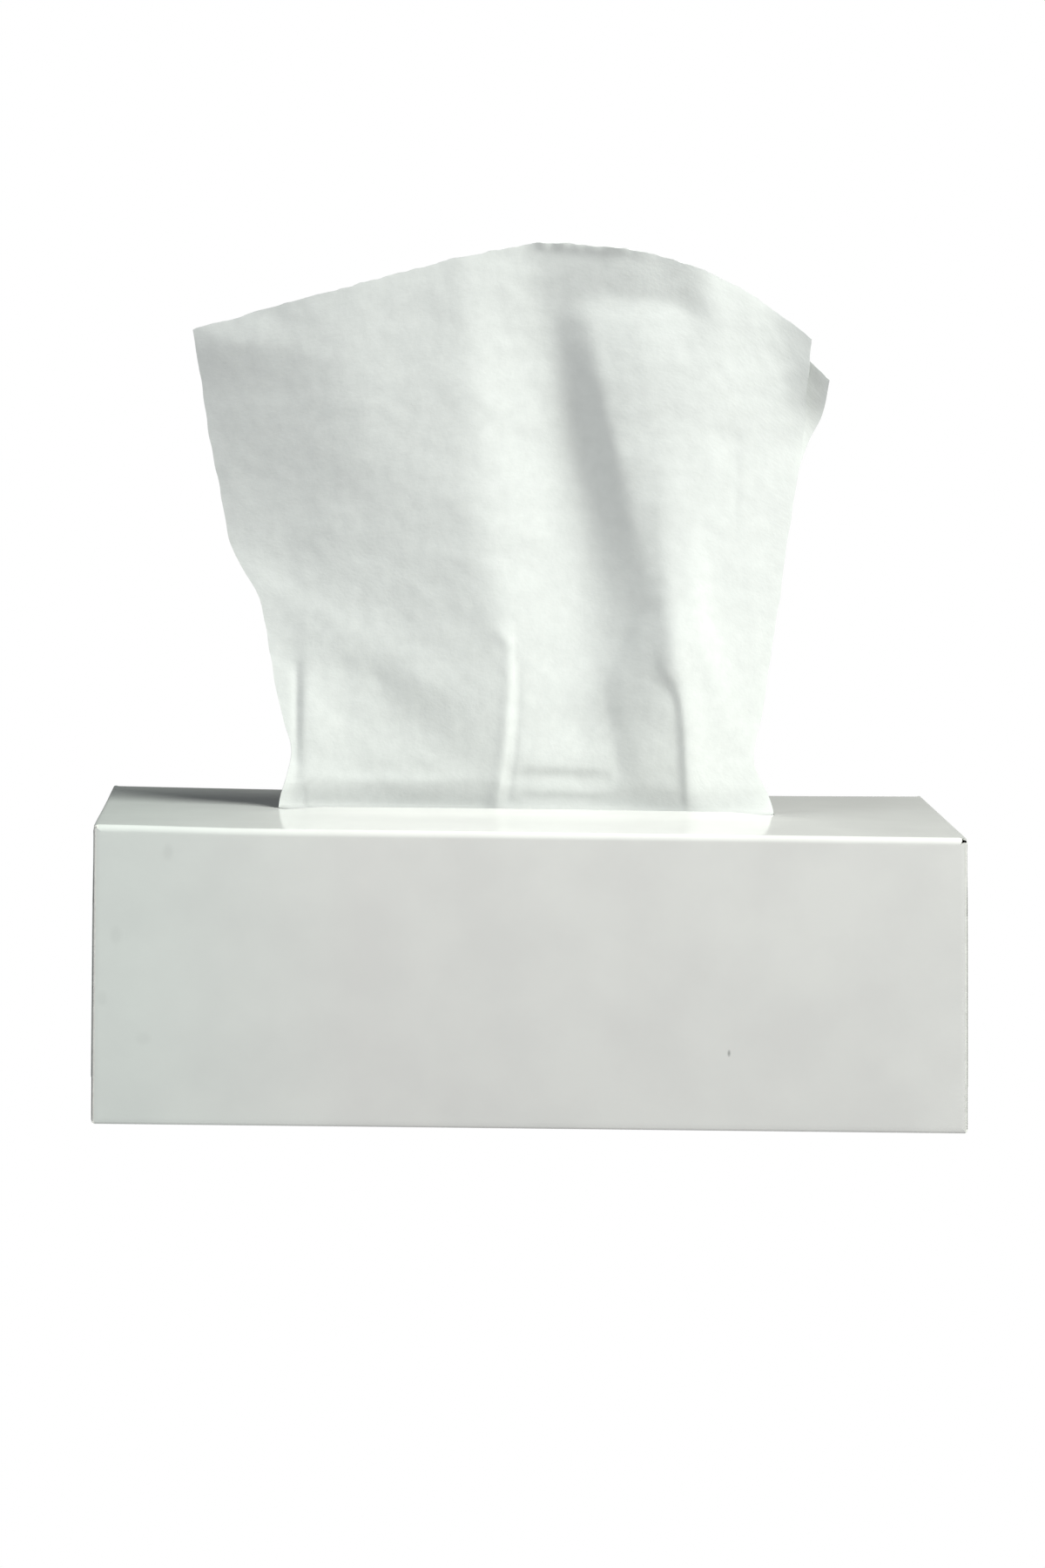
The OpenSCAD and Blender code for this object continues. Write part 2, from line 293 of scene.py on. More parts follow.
# Creases on the long folds: path of (x, height, depth), then the fade to its left and to its right
CREASES = [
    # pinched pleat up the middle, and the kink it ends in
    ([(-8.3, 2, -0.4), (-6.4, 17, -0.5), (-5.4, 32, -0.55), (-5.4, 42, -0.5), (-5.2, 52, 0)], 2, 1),
    ([(-5.2, 3, 0.2), (-3.6, 17, 0.25), (-2.8, 32, 0.25), (-2.8, 44, 0)], 0.9, 1),
    ([(-9.5, 51, 0), (-7, 47.5, -0.4), (-5.2, 43, 0)], 1.8, 1.8),
    # crest beside the valley, and the bands right of it
    ([
        (44.2, 0, 0), (43.4, 9, -0.9), (42.4, 22, -1), (40.8, 33, -0.9), (37, 40, -0.5), (34.5, 46, 0),
    ], 1.3, 5),
    ([(40, 34, 0), (38.6, 48, -0.7), (37, 60, -0.8), (35.8, 75, -0.4), (35, 92, 0)], 3.5, 6),
    ([(37, 36, 0), (38.2, 42, -0.9), (38.2, 48, -0.9), (36.5, 56, 0)], 9, 5),
    ([(43, 82, 0), (43.5, 66, -0.7), (46, 48, -0.8), (52, 32, -0.5), (57, 16, 0)], 4, 4),
    ([(54.4, 108, 0), (54.6, 98, 0.3), (55, 82, 0.3), (55, 72, 0)], 1.8, 9),
    # dent along the left edge of the low panel
    ([
        (25, 7, 0), (24, 13, 0.5), (21.6, 25, 0.8), (20.2, 33, 0.8), (21, 40, 0.9), (25, 47, 1), (30, 60, 0),
    ], 9, 3.5),
    # dent and pleat up the left side
    ([(-62.9, 6, 0), (-62.9, 20, 0.5), (-63, 34, 0.5), (-63.2, 41, 0)], 1.2, 1.2),
    ([(-60, 8, -0.3), (-60, 27, -0.7), (-60, 40, -0.4), (-60, 52, 0)], 2.5, 9),
    # slanting fold across the lower left, and the dents under it
    ([(-78, 62, -0.6), (-58, 52, -0.75), (-44, 44, -0.75), (-28, 35, -0.6), (-10, 22, 0)], 7, 9),
    ([(-50, 46, 0), (-38, 31, 0.2), (-24, 19, 0.2), (-12, 10, 0)], 6, 7),
    ([(-45, 41, 0), (-41, 36, 0.2), (-37, 31, 0)], 2.5, 2.5),
    # roll over the slot, and the wrinkles right of it
    ([(-60, 8, -0.2), (-40, 7.5, -0.35), (-9, 8.5, -0.2)], 2.2, 6),
    ([(-6, 13, 0), (4, 13, -0.5), (16, 12.8, -0.5), (24, 12.6, 0)], 7, 2),
    ([(-6, 6, 0), (4, 6, -0.22), (16, 5.8, -0.22), (24, 5.8, 0)], 3, 1.2),
    # left foot turned forward
    ([(-69, 0, -1.2), (-67, 7, -1), (-65, 14, 0)], 3, 3),
]


def at(h, values):
    """A value of a fold line at a height."""
    return bent(h, FOLD_HEIGHTS, values, [LINE_R] * len(values))


def long_folds(x, h):
    lines = (LEFT_X, WING_X, RIDGE_X, VALLEY_X, RIM_X, CREST_X, PANEL_X, RIGHT_X)
    depths = (LEFT_Y, WING_Y, RIDGE_Y, VALLEY_Y, RIM_Y, CREST_Y, PANEL_Y, RIGHT_Y)
    radii = (WING_R, RIDGE_R, VALLEY_R, RIM_R, CREST_R, PANEL_R)
    rounding = [np.maximum(at(h, radius), LEAST_FOLD_R) for radius in radii]
    return bent(x, [at(h, line) for line in lines], [at(h, depth) for depth in depths], [0, *rounding, 0])


def hood_fold(x, h):
    tuck_line = HOOD_TUCK_H - HOOD_SLANT * hinge(x - HOOD_SLANT_X, HOOD_SLANT_R)
    hood = HOOD_SWELL * hinge(h - HOOD_SWELL_H, HOOD_SWELL_R) - HOOD_TUCK * hinge(h - tuck_line, HOOD_TUCK_R)
    return hood * rise(x, HOOD_LEFT) * fall(x, HOOD_RIGHT)


def corner_folds(x, h):
    past_line = x - RIGHT_TURN_X + RIGHT_TURN_SLANT * h
    over_line = h - LEFT_CREASE_H + LEFT_CREASE_SLANT * x
    right_turn = -RIGHT_TURN * hinge(past_line, RIGHT_TURN_R) * rise(h, RIGHT_TURN_UP)
    left_crease = -LEFT_CREASE * bump(over_line / LEFT_CREASE_W) * fall(x, LEFT_CREASE_SPAN)
    return right_turn + left_crease


def foot_folds(x, h):
    arch = h + LOW_PANEL_ARCH * (x - LOW_PANEL_X) ** 2
    low_panel = -LOW_PANEL * bump((x - LOW_PANEL_X) / LOW_PANEL_W)
    low_panel = low_panel * rise(h, LOW_PANEL_FOOT) * fall(arch, LOW_PANEL_TOP)
    lean = FOOT_LEAN * bump(h / FOOT_LEAN_H) * (1 + rise(x, FOOT_LEAN_TWICE))
    return low_panel - FOOT_LIP * bump(h / FOOT_LIP_H) - lean


def short_folds(x, h):
    return hood_fold(x, h) + corner_folds(x, h) + foot_folds(x, h)


def creases(x, h):
    depth = np.zeros(x.shape)
    for points, left, right in CREASES:
        depth += stroke(x, h, points, left, right)
    return depth


def crumple(x, h, size, seed):
    """Soft uneven dents of one size, the same on each run."""
    return np.array([noise.noise(Vector((a / size, b / size, seed))) for a, b in zip(x, h)])


def wave(t, length, seed):
    """Soft uneven waves along a line, the same on each run."""
    return crumple(t, 0 * t, length, seed)


def standing_sheet(u, v, back):
    """Points of the part of a ply that stands over the slot, from its foot to its top edge."""
    top = mix(mix(LEFT_CORNER_H, RIGHT_CORNER_H, u), PEAK_H, rounded_line(u, TOP_EDGE, TOP_EDGE_R))
    top += EDGE_WAVE * sum(share * wave(SHEET_W * u, length, seed) for share, length, seed in TOP_WAVES)
    parting = back * rise(v, PART_UP)
    drop = LEFT_CORNER_DROP * fall(u, PART_LEFT) + RIGHT_CORNER_DROP * rise(u, PART_RIGHT)
    h = v * top - parting * drop
    left = -HALF_FOOT - rounded_line(h, LEFT_SIDE, SIDE_R) - EDGE_WAVE * wave(h, SIDE_WAVE_L, LEFT_SEED)
    right = HALF_FOOT + rounded_line(h, RIGHT_SIDE, SIDE_R) + EDGE_WAVE * wave(h, SIDE_WAVE_L, RIGHT_SEED)
    x = mix(left, right, u) + parting * RIGHT_CORNER_OUT * rise(u, PART_RIGHT)
    y = long_folds(x, h) + short_folds(x, h) + creases(x, h)
    y += ease(h / FREE_H) * sum(depth * crumple(x, h, size, seed) for depth, size, seed in DENTS)
    curl = EDGE_CURL * (1 + crumple(x, h, RAG_L, RAG_SEED)) * bump((v * top - top) / EDGE_CURL_H)
    y -= curl * rise(x, CURL_LEFT) * fall(x, CURL_RIGHT)
    y += back * PLY_GAP + parting * PLY_SPREAD - PLY_GAP / 2
    return np.stack([x, y, CARTON_H + h], 1)


def tail_sheet(u, s, back):
    """Points of the part below the top panel, by the length from the slot: down, round and back."""
    half = mix(HALF_FOOT, HALF_TAIL, ease(s / TAIL_L))
    x = half * (2 * u - 1)
    foot = (long_folds(x, 0 * s) + short_folds(x, 0 * s)) * (1 - ease(s / DROP_L))
    turn = np.clip((s - DROP_L) / BEND_L, 0, 1) * math.pi / 2
    run = np.clip(s - DROP_L - BEND_L, 0, None)
    off = back * PLY_GAP - PLY_GAP / 2
    y = foot + TAIL_R * (1 - np.cos(turn)) + run + off * np.cos(turn)
    z = CARTON_H - np.minimum(s, DROP_L) - TAIL_R * np.sin(turn) + off * np.sin(turn)
    return np.stack([x, y, z], 1)


# Pieces

def make_piece(name, bm, materials):
    mesh = bpy.data.meshes.new(name)
    bm.to_mesh(mesh)
    bm.free()
    for material in materials:
        mesh.materials.append(material)
    piece = bpy.data.objects.new(name, mesh)
    bpy.context.scene.collection.objects.link(piece)
    return piece


def cut_through(bm, normal, place):
    """New edges where a plane at a place along its normal crosses the mesh."""
    everything = bm.verts[:] + bm.edges[:] + bm.faces[:]
    bmesh.ops.bisect_plane(bm, geom=everything, dist=MERGE, plane_co=normal * place, plane_no=normal)


def axis_normal(axis):
    normal = Vector((0, 0, 0))
    normal[axis] = 1
    return normal


def smooth_shading(piece, angle):
    mesh = piece.data
    mesh.polygons.foreach_set("use_smooth", [True] * len(mesh.polygons))
    mesh.set_sharp_from_angle(angle=math.radians(angle))


def give_thickness(sheet, thickness):
    wall = sheet.modifiers.new("paper_thickness", "SOLIDIFY")
    wall.thickness = thickness
    wall.offset = 0
    seen = sheet.evaluated_get(bpy.context.evaluated_depsgraph_get())
    solid = bpy.data.meshes.new_from_object(seen)
    sheet.modifiers.clear()
    sheet.data = solid


def make_ply(name, node, back, grid, paper):
    """A ply of the sheet, with the flat sheet as its UV map. Back is 0 for the front ply, 1 for the back."""
    columns, standing_rows, tail_rows = grid
    rows = standing_rows + tail_rows
    bm = bmesh.new()
    bmesh.ops.create_grid(bm, x_segments=columns, y_segments=rows, size=0.5)
    share = np.array([vert.co[:2] for vert in bm.verts]) + 0.5
    u, v = share[:, 0], share[:, 1] * rows - tail_rows
    up = standing_sheet(u, np.clip(v / standing_rows, 0, 1), back)
    down = tail_sheet(u, np.clip(-v / tail_rows, 0, 1) * TAIL_L, back)
    places = np.where((v >= 0)[:, None], up, down)
    flat = bm.loops.layers.uv.new("flat_sheet")
    width, length = SHEET_FLAT
    for face in bm.faces:
        for loop in face.loops:
            loop[flat].uv = ((loop.vert.co.x + 0.5) * width, (loop.vert.co.y + 0.5) * length)
    for vert, place in zip(bm.verts, places):
        vert.co = place * MM
    ply = make_piece(name, bm, [paper])
    give_thickness(ply, PAPER_T * MM)
    smooth_shading(ply, PAPER_SHARP)
    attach(ply, "root")
    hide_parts(node)


def make_stack(paper):
    """The folded sheets in the carton: a block of layers whose edges lie unevenly."""
    low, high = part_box("tissue_stack")
    size = high - low
    middle = (low + high) / 2
    edge = STACK_EDGE_R * MM
    bm = bmesh.new()
    bmesh.ops.create_cube(bm, size=1, matrix=Matrix.Translation(middle) @ Matrix.Diagonal((*size, 1)))
    upright = [e for e in bm.edges if abs((e.verts[0].co - e.verts[1].co).z) > size.z / 2]
    bmesh.ops.bevel(
        bm, geom=upright, offset=edge, affect="EDGES", segments=STACK_EDGE_STEPS, profile=0.5, material=-1
    )
    for axis, count in ((2, STACK_LAYERS), (0, STACK_COLUMNS), (1, STACK_ROWS)):
        for i in range(1, count):
            cut_through(bm, axis_normal(axis), low[axis] + size[axis] * i / count)
    for vert in bm.verts:
        away = vert.co - middle
        layer = round((vert.co.z - low.z) / size.z * STACK_LAYERS)
        uneven = noise.noise(Vector((away.x * LAYER_WAVES, away.y * LAYER_WAVES, layer * LAYER_SHIFT)))
        inset = (1 + uneven) / 2
        if abs(away.x) > size.x / 2 - edge:
            vert.co.x -= math.copysign(inset * STACK_END_INSET * MM, away.x)
        if abs(away.y) > size.y / 2 - edge:
            vert.co.y -= math.copysign(inset * STACK_SIDE_INSET * MM, away.y)
    stack = make_piece("tissue_stack_sheets", bm, [paper])
    smooth_shading(stack, STACK_SHARP)
    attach(stack, "root")
    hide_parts("tissue_stack")


# Carton: where its panels are cut so that they can bow, along x, y and z
BOW_CUTS = [
    [-114, -105, -95, -80, -66, -50, -33, -16, 0, 16, 33, 50, 66, 80, 95, 105, 114],
    [-55.6, -48, -38, -28, -20, -14, 14, 20, 28, 38, 48, 55.6],
    [2.4, 10, 20, 30, 40, 50, 60, 70, 76.1],
]
FLAT_ANGLE = 0.3

# Front and back bow out, the top is crowned and sags to the back, the sheet lifts the front edge of the
# slot, the left front corner is lifted, and the right end leans out at the bottom
FRONT_BOW = 0.5
FRONT_ZONE = (-57, -46)
BACK_ZONE = (46, 57)
TOP_ZONE = (60, 77)
TOP_CROWN = 0.8
BACK_SAG = 0.7
SAG_ZONE = (0, 58)
LIP_LIFT = 1
LIP_ENDS = (54, 70)
LIP_Y = -13
LIP_W = 6
LEFT_LIFT = 0.6
LEFT_LIFT_X = (-115, -70)
LEFT_LIFT_Y = (-50, 10)
RIGHT_LEAN = 2
RIGHT_LEAN_X = (60, 115)
LEAN_LEVEL = 0.6

# Flaps and folds: how much closer the flaps lie than in the solid, how far the upper flap is pressed in,
# how far the flaps' sides and the board at the corners are drawn out, and how crisp the upright folds are
FLAP_CLOSE = 0.7
FLAP_PRESS = 0.14
FLAP_PRESS_Z = (56, 68)
FLAP_INSET = 0.6
FLAP_SIDE = 0.7
CORNER_REACH = 1.2
FOLD_CRISP = 0.85
END_FOLD = CARTON_HALF_L - FOLD_R
SIDE_FOLD = CARTON_HALF_D - FOLD_R
HALF_H = CARTON_H / 2
TOP_FOLD = HALF_H - FOLD_R

# Finishes of the board, in the order of the carton's materials
OUTSIDE, INSIDE, CUT_EDGE = range(3)
SLOT_BORDER = 1
LEVEL_SLOPE = 0.5
END_SLOPE = 0.9


def panel_bow(x, y, z):
    across = max(1 - (x / CARTON_HALF_L) ** 2, 0)
    upright = max(1 - ((z - HALF_H) / HALF_H) ** 2, 0)
    out = FRONT_BOW * across * upright * (rise(y, BACK_ZONE) - fall(y, FRONT_ZONE))
    sag = -BACK_SAG * across * rise(y, SAG_ZONE)
    crown = TOP_CROWN * across * max(1 - (y / CARTON_HALF_D) ** 2, 0)
    lip = LIP_LIFT * fall(abs(x), LIP_ENDS) * bump((y - LIP_Y) / LIP_W)
    corner = LEFT_LIFT * fall(x, LEFT_LIFT_X) * fall(y, LEFT_LIFT_Y)
    lean = RIGHT_LEAN * (LEAN_LEVEL - z / CARTON_H) * rise(x, RIGHT_LEAN_X)
    return Vector((lean, out, (sag + crown + lip + corner) * rise(z, TOP_ZONE)))


def flap_press(x, y, z):
    """The end flaps lie close on each other and on the dust flaps, and their sides come up to the folds."""
    out = abs(x) - CARTON_HALF_L
    if out < -NEAR:
        return Vector((0, 0, 0))
    press = FLAP_CLOSE * max(out, 0)
    if out > BOARD_T / 2:
        press += FLAP_PRESS * rise(z, FLAP_PRESS_Z)
    at_side = abs(abs(y) - SIDE_FOLD - FLAP_INSET) < NEAR and abs(z - HALF_H) < TOP_FOLD
    side = FLAP_SIDE if at_side else 0
    return Vector((math.copysign(press, -x), math.copysign(side, y), 0))


def corner_close(x, y, z):
    """Board at the ends of the folds drawn out, less at the right front corner of the top, to a pinhole."""
    beyond = Vector((abs(x) - END_FOLD, abs(y) - SIDE_FOLD, abs(z - HALF_H) - TOP_FOLD))
    outward = Vector((math.copysign(1, x), math.copysign(1, y), math.copysign(1, z - HALF_H)))
    open_corner = x >= 0 and y <= 0 and z >= HALF_H
    reach = CORNER_REACH / 2 if open_corner else CORNER_REACH
    move = Vector((0, 0, 0))
    for axis in range(3):
        a, b = beyond[axis - 1], beyond[axis - 2]
        edge = FLAP_INSET if axis == 1 and beyond.x > FOLD_R / 2 else 0
        if abs(beyond[axis] - edge) < NEAR and a > 0 and b > 0:
            move[axis] = outward[axis] * reach * 2 * a * b / (a * a + b * b)
    return move


def squaring(a, b):
    """How much further out a point of a fold lies when the fold is pressed crisp."""
    return FOLD_CRISP * (math.hypot(a, b) / max(a, b) - 1)


def crisp_fold(x, y, z):
    """The upright folds and the long folds at the bottom are pressed tighter than those at the top."""
    end, side, low = abs(x) - END_FOLD, abs(y) - SIDE_FOLD, HALF_H - z - TOP_FOLD
    upright = abs(x) < CARTON_HALF_L + NEAR and abs(z - HALF_H) < TOP_FOLD + NEAR
    if upright and min(end, side) > NEAR:
        grow = squaring(end, side)
        return Vector((math.copysign(end * grow, x), math.copysign(side * grow, y), 0))
    if min(side, low) > NEAR and end < NEAR:
        grow = squaring(side, low)
        return Vector((0, math.copysign(side * grow, y), -low * grow))
    return Vector((0, 0, 0))


def board_move(place):
    """How far a point of the board has moved from its place in the solid."""
    return panel_bow(*place) + flap_press(*place) + corner_close(*place) + crisp_fold(*place)


def board_side(place, normal):
    """Which finish a face of the board has."""
    x, y, z = abs(place.x), abs(place.y), place.z
    beside_slot = x < SLOT_HALF_L + SLOT_BORDER and y < SLOT_HALF_W + SLOT_BORDER
    if beside_slot and z > CARTON_H - 2 * BOARD_T and abs(normal.z) < LEVEL_SLOPE:
        return CUT_EDGE
    if abs(x - CARTON_HALF_L) < NEAR and abs(normal.x) > END_SLOPE:
        return CUT_EDGE
    if x > CARTON_HALF_L + BOARD_T / 2:
        return OUTSIDE
    out_y, out_z = y - CARTON_HALF_D, abs(z - HALF_H) - HALF_H
    skin = max(out_y, out_z)
    if min(out_y, out_z) > -FOLD_R:
        skin = math.hypot(out_y + FOLD_R, out_z + FOLD_R) - FOLD_R
    return OUTSIDE if skin > -BOARD_T / 2 else INSIDE


def make_carton(finishes):
    bm = bmesh.new()
    bm.from_mesh(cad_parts["carton"].data)
    bmesh.ops.remove_doubles(bm, verts=bm.verts, dist=MERGE)
    bmesh.ops.dissolve_limit(bm, angle_limit=math.radians(FLAT_ANGLE), verts=bm.verts, edges=bm.edges)
    for axis, places in enumerate(BOW_CUTS):
        for place in places:
            cut_through(bm, axis_normal(axis), place * MM)
    for face in bm.faces:
        face.material_index = board_side(face.calc_center_median() / MM, face.normal)
    for vert in bm.verts:
        vert.co += board_move(vert.co / MM) * MM
    bmesh.ops.triangulate(bm, faces=[face for face in bm.faces if len(face.verts) > 4])
    bm.normal_update()
    for face in bm.faces:
        face.smooth = True
    for edge in bm.edges:
        edge.smooth = edge.calc_face_angle(0) < math.radians(BOARD_SHARP)
    carton = make_piece("carton_board", bm, finishes)
    # The normals that came with the CAD mesh don't fit the bowed panels
    cad_normals = carton.data.attributes.get("custom_normal")
    if cad_normals:
        carton.data.attributes.remove(cad_normals)
    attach(carton, "root")
    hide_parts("carton")


# Finishes: each grain is its scale, its detail and its stretch, each relief its depth and its strength,
# and each pair of colours the darker and the lighter
EVEN = (1, 1, 1)
WHITE = (1, 1, 1)

PAPER_ROUGHNESS = 0.95
PAPER_CLOUD = (260, 4, EVEN)
PAPER_CREPE = (1000, 3, (0.7, 1, 1))
PAPER_COLORS = ((0.832, 0.849, 0.834), (0.862, 0.879, 0.864))
CLOUD_RELIEF = (0.08, 0.5)
CREPE_RELIEF = (0.06, 0.7)
PAPER_SPECULAR = 0.15
PAPER_SEE_THROUGH = 0.2

STACK_GRAIN = (900, 2, (0.05, 0.05, 1.5))
STACK_CREPE = (1100, 2, (1, 0.5, 1))
STACK_COLORS = ((0.78, 0.8, 0.77), (0.92, 0.94, 0.91))
STACK_RELIEF = (0.08, 0.7)

COATED_ROUGHNESS = 0.5
COATED_CLOUD = (45, 4, EVEN)
COATED_FIBRE = (900, 3, (0.35, 1, 1))
COATED_COLORS = ((0.707, 0.7, 0.686), (0.745, 0.74, 0.722))
COATED_RELIEF = (0.02, 0.5)
COATED_SPECULAR = 0.05
COAT_WEIGHT = 0.6
COAT_ROUGHNESS = 0.1

# The coated board has a cooler, greener tint painted towards its left end, standing in for the cooler light
# that falls there, and a speck
# and faint smudges on its front: place along and up the front panel, half width and height, and how much of
# the colour stays
LIGHT_TINT_FROM = -105
LIGHT_TINT_TO = -45
PAINTED_LIGHT_TINT = (0.95, 1, 0.985)
SMUDGES = [
    (52.6, 20.8, 0.6, 1.3, 0.4),
    (-95.6, 72.2, 1.8, 2.6, 0.94),
    (-109, 50.2, 2, 3, 0.95),
    (-112.5, 33.4, 1.8, 2.6, 0.95),
    (-101.7, 22.9, 2.6, 2.2, 0.96),
]
SMUDGE_CORE = 0.4

PLAIN_ROUGHNESS = 0.85
PLAIN_FIBRE = (700, 4, (0.4, 1, 1))
PLAIN_RELIEF = (0.05, 0.7)
INSIDE_COLORS = ((0.66, 0.66, 0.63), (0.74, 0.74, 0.71))
CUT_EDGE_COLORS = ((0.62, 0.61, 0.57), (0.76, 0.75, 0.71))

# Sockets of a colour mix
MIX_SHARE, MIX_A, MIX_B = 0, 6, 7
MIX_COLOR = 2


def blend_shaders(tree, first, second, surface):
    """Mixes two shaders into a surface, and gives back the socket for the share of the second."""
    blend = tree.nodes.new("ShaderNodeMixShader")
    tree.links.new(first, blend.inputs[1])
    tree.links.new(second, blend.inputs[2])
    tree.links.new(blend.outputs["Shader"], surface)
    return blend.inputs[0]


class Finish:
    """A material and short ways to add its nodes."""

    def __init__(self, name):
        self.material = bpy.data.materials.new(name)
        self.material.use_nodes = True
        self.tree = self.material.node_tree
        self.nodes = self.tree.nodes
        self.shader = self.nodes["Principled BSDF"]
        self.surface = self.nodes["Material Output"].inputs["Surface"]

    def add(self, kind, links=(), **settings):
        node = self.nodes.new(kind)
        for name, value in settings.items():
            if hasattr(node, name):
                setattr(node, name, value)
            else:
                node.inputs[name].default_value = value
        for socket, source in links:
            self.tree.links.new(source, node.inputs[socket])
        return node

    def place(self):
        return self.add("ShaderNodeTexCoord").outputs["Object"]

    def grain(self, coordinates, scale, detail, stretch):
        """Noise of a size, over a coordinate socket."""
        mapping = self.add("ShaderNodeMapping", [("Vector", coordinates)], Scale=stretch)
        links = [("Vector", mapping.outputs["Vector"])]
        return self.add("ShaderNodeTexNoise", links, Scale=scale, Detail=detail).outputs["Fac"]

    def shades(self, factor, dark, light, low=0.35, high=0.65):
        """A colour between two, by a factor."""
        ramp = self.add("ShaderNodeValToRGB", [("Fac", factor)])
        for element, position, color in zip(ramp.color_ramp.elements, (low, high), (dark, light)):
            element.position = position
            element.color = (*color, 1)
        return ramp.outputs["Color"]

    def times(self, color, tint):
        links = [(MIX_A, color), (MIX_B, tint)]
        node = self.add("ShaderNodeMix", links, data_type="RGBA", blend_type="MULTIPLY")
        node.inputs[MIX_SHARE].default_value = 1
        return node.outputs[MIX_COLOR]

    def relief(self, height, depth, strength):
        links = [("Height", height)]
        return self.add("ShaderNodeBump", links, Strength=strength, Distance=depth * MM)

    def paint(self, color, normal, roughness):
        self.tree.links.new(color, self.shader.inputs["Base Color"])
        self.tree.links.new(normal, self.shader.inputs["Normal"])
        self.shader.inputs["Roughness"].default_value = roughness


def paper_finish(name):
    """Thin crepe paper that lets some light through."""
    finish = Finish(name)
    flat = finish.add("ShaderNodeUVMap", uv_map="flat_sheet").outputs["UV"]
    cloud = finish.grain(flat, *PAPER_CLOUD)
    color = finish.shades(cloud, *PAPER_COLORS)
    soft = finish.relief(cloud, *CLOUD_RELIEF)
    crepe = finish.relief(finish.grain(flat, *PAPER_CREPE), *CREPE_RELIEF)
    finish.tree.links.new(soft.outputs["Normal"], crepe.inputs["Normal"])
    normal = crepe.outputs["Normal"]
    finish.paint(color, normal, PAPER_ROUGHNESS)
    finish.shader.inputs["Specular IOR Level"].default_value = PAPER_SPECULAR
    glow = finish.add("ShaderNodeBsdfTranslucent", [("Color", color), ("Normal", normal)])
    paper = finish.shader.outputs["BSDF"]
    share = blend_shaders(finish.tree, paper, glow.outputs["BSDF"], finish.surface)
    share.default_value = PAPER_SEE_THROUGH
    return finish.material


def stack_finish():
    finish = Finish("stacked_paper")
    place = finish.place()
    color = finish.shades(finish.grain(place, *STACK_GRAIN), *STACK_COLORS)
    crepe = finish.relief(finish.grain(place, *STACK_CREPE), *STACK_RELIEF)
    finish.paint(color, crepe.outputs["Normal"], PAPER_ROUGHNESS)
    return finish.material


def painted_light_tint(finish, place):
    """Painted light: a cooler tint along the coated board's length, standing in for the cooler light at its
    left end.
    """
    split = finish.add("ShaderNodeSeparateXYZ", [("Vector", place)])
    share = finish.add("ShaderNodeMapRange", [("Value", split.outputs["X"])])
    share.inputs["From Min"].default_value = LIGHT_TINT_FROM * MM
    share.inputs["From Max"].default_value = LIGHT_TINT_TO * MM
    return finish.shades(share.outputs["Result"], PAINTED_LIGHT_TINT, WHITE, 0, 1)


def smudge(finish, place, x, z, half_w, half_h, tone):
    """The tint of one smudge of the front panel."""
    spot = finish.add("ShaderNodeMapping", [("Vector", place)])
    spot.inputs["Location"].default_value = (-x / half_w, CARTON_HALF_D / half_w, -z / half_h)
    spot.inputs["Scale"].default_value = (1 / (half_w * MM), 1 / (half_w * MM), 1 / (half_h * MM))
    away = finish.add("ShaderNodeVectorMath", [(0, spot.outputs["Vector"])], operation="LENGTH")
    return finish.shades(away.outputs["Value"], (tone, tone, tone), WHITE, SMUDGE_CORE, 1)


def coated_finish():
    """White board with a thin gloss coat."""
    finish = Finish("coated_board")
    place = finish.place()
    color = finish.shades(finish.grain(place, *COATED_CLOUD), *COATED_COLORS)
    # painted light: the board colour made cooler towards the left end, for the light there
    color = finish.times(color, painted_light_tint(finish, place))
    for spot in SMUDGES:
        color = finish.times(color, smudge(finish, place, *spot))
    fibre = finish.relief(finish.grain(place, *COATED_FIBRE), *COATED_RELIEF)
    finish.paint(color, fibre.outputs["Normal"], COATED_ROUGHNESS)
    finish.shader.inputs["Specular IOR Level"].default_value = COATED_SPECULAR
    finish.shader.inputs["Coat Weight"].default_value = COAT_WEIGHT
    finish.shader.inputs["Coat Roughness"].default_value = COAT_ROUGHNESS
    return finish.material


def plain_board_finish(name, colors):
    finish = Finish(name)
    fibre = finish.grain(finish.place(), *PLAIN_FIBRE)
    relief = finish.relief(fibre, *PLAIN_RELIEF)
    finish.paint(finish.shades(fibre, *colors), relief.outputs["Normal"], PLAIN_ROUGHNESS)
    return finish.material


# Studio: camera in millimetres, degrees and metres, lights by their azimuth and elevation in degrees,
# distance and size in metres, power in watts and colour
AIM = Vector((-1.13, 0, 85.87)) * MM
VIEW_AZIMUTH = -1.853
VIEW_ELEVATION = 5.37
VIEW_ROLL = 0.932
VIEW_DISTANCE = 1.456
LENS = 122.46
SENSOR = 36
CLIP_START = 0.05
LIGHT_AIM = Vector((0, 0, 100)) * MM
KEY = (58, 46, 1.5, 0.8, 36.8, (0.97, 1, 0.955))
FILL = (-60, 20, 1.5, 0.6, 6.5, (0.94, 0.98, 1))
SKY_COLOR = (0.92, 0.975, 1.01, 1)
SKY_STRENGTH = 0.075
FLOOR_HALF = 4
FLOOR_STEPS = 8
FLOOR_GLOW = 0.55


def direction(azimuth, elevation):
    """Unit vector from the carton towards the front, turned right by the azimuth and up."""
    a, e = math.radians(azimuth), math.radians(elevation)
    return Vector((math.sin(a) * math.cos(e), -math.cos(a) * math.cos(e), math.sin(e)))


def make_camera():
    data = bpy.data.cameras.new("photo_camera")
    data.lens = LENS
    data.sensor_width = SENSOR
    data.clip_start = CLIP_START
    camera = bpy.data.objects.new("photo_camera", data)
    bpy.context.scene.collection.objects.link(camera)
    back = direction(VIEW_AZIMUTH, VIEW_ELEVATION)
    turn = back.to_track_quat("Z", "Y").to_matrix() @ Matrix.Rotation(math.radians(VIEW_ROLL), 3, "Z")
    camera.matrix_world = Matrix.Translation(AIM + back * VIEW_DISTANCE) @ turn.to_4x4()
    bpy.context.scene.camera = camera


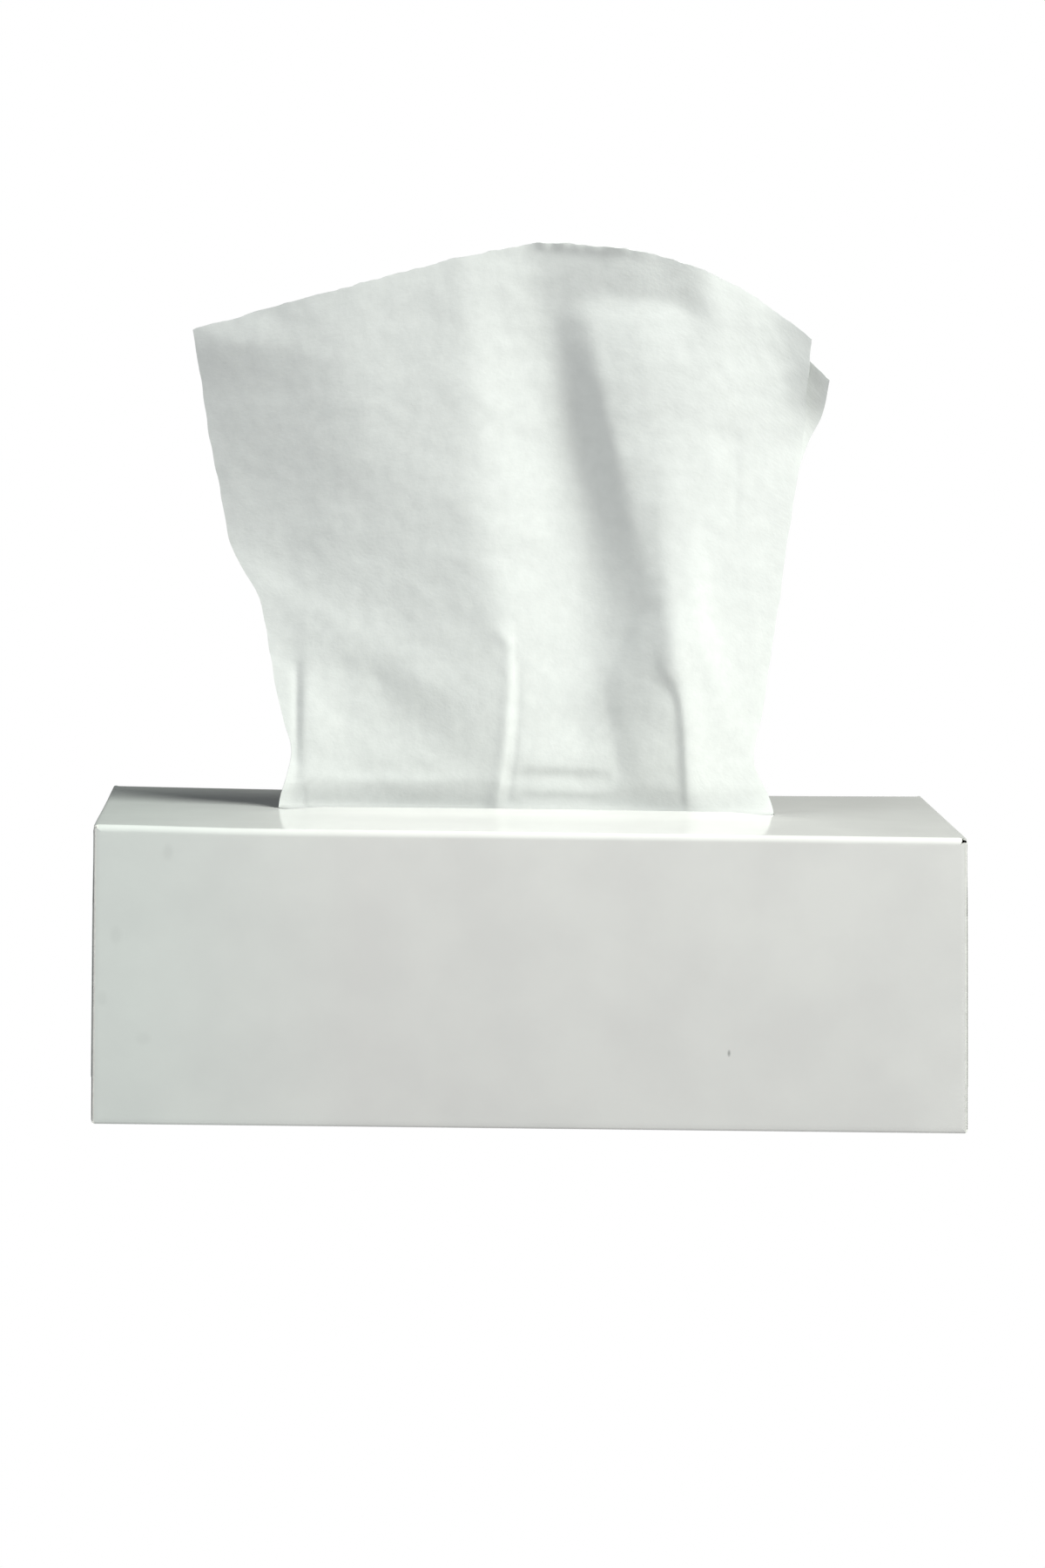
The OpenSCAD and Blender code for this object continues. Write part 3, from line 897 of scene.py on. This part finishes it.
def make_light(name, azimuth, elevation, distance, size, power, color):
    data = bpy.data.lights.new(name, "AREA")
    data.shape = "DISK"
    data.size = size
    data.energy = power
    data.color = color
    light = bpy.data.objects.new(name, data)
    bpy.context.scene.collection.objects.link(light)
    back = direction(azimuth, elevation)
    light.location = LIGHT_AIM + back * distance
    light.rotation_mode = "QUATERNION"
    light.rotation_quaternion = back.to_track_quat("Z", "Y")


def make_sky():
    """Dim soft light from all round, white where the camera sees it."""
    world = bpy.data.worlds.new("studio")
    bpy.context.scene.world = world
    world.use_nodes = True
    tree = world.node_tree
    soft = tree.nodes["Background"]
    soft.inputs["Color"].default_value = SKY_COLOR
    soft.inputs["Strength"].default_value = SKY_STRENGTH
    white = tree.nodes.new("ShaderNodeBackground")
    white.inputs["Color"].default_value = (*WHITE, 1)
    surface = tree.nodes["World Output"].inputs["Surface"]
    share = blend_shaders(tree, soft.outputs["Background"], white.outputs["Background"], surface)
    tree.links.new(tree.nodes.new("ShaderNodeLightPath").outputs["Is Camera Ray"], share)


def floor_finish():
    """White where the camera sees it, and a softer glow on the object."""
    finish = Finish("pale_floor")
    finish.nodes.remove(finish.shader)
    glow = finish.add("ShaderNodeEmission", Strength=FLOOR_GLOW)
    white = finish.add("ShaderNodeEmission", Strength=1)
    seen = finish.add("ShaderNodeLightPath").outputs["Is Camera Ray"]
    share = blend_shaders(finish.tree, glow.outputs["Emission"], white.outputs["Emission"], finish.surface)
    finish.tree.links.new(seen, share)
    return finish.material


def make_studio():
    bpy.context.scene.view_settings.view_transform = "Standard"
    make_sky()
    make_light("key", *KEY)
    make_light("fill", *FILL)
    bm = bmesh.new()
    bmesh.ops.create_grid(bm, x_segments=FLOOR_STEPS, y_segments=FLOOR_STEPS, size=FLOOR_HALF)
    make_piece("floor", bm, [floor_finish()])


make_camera()
make_studio()
make_carton([
    coated_finish(),
    plain_board_finish("board_inside", INSIDE_COLORS),
    plain_board_finish("board_cut_edge", CUT_EDGE_COLORS),
])
make_stack(stack_finish())
make_ply("tissue_ply_front", "front_ply", 0, FRONT_GRID, paper_finish("tissue_paper_front"))
make_ply("tissue_ply_back", "back_ply", 1, BACK_GRID, paper_finish("tissue_paper_back"))
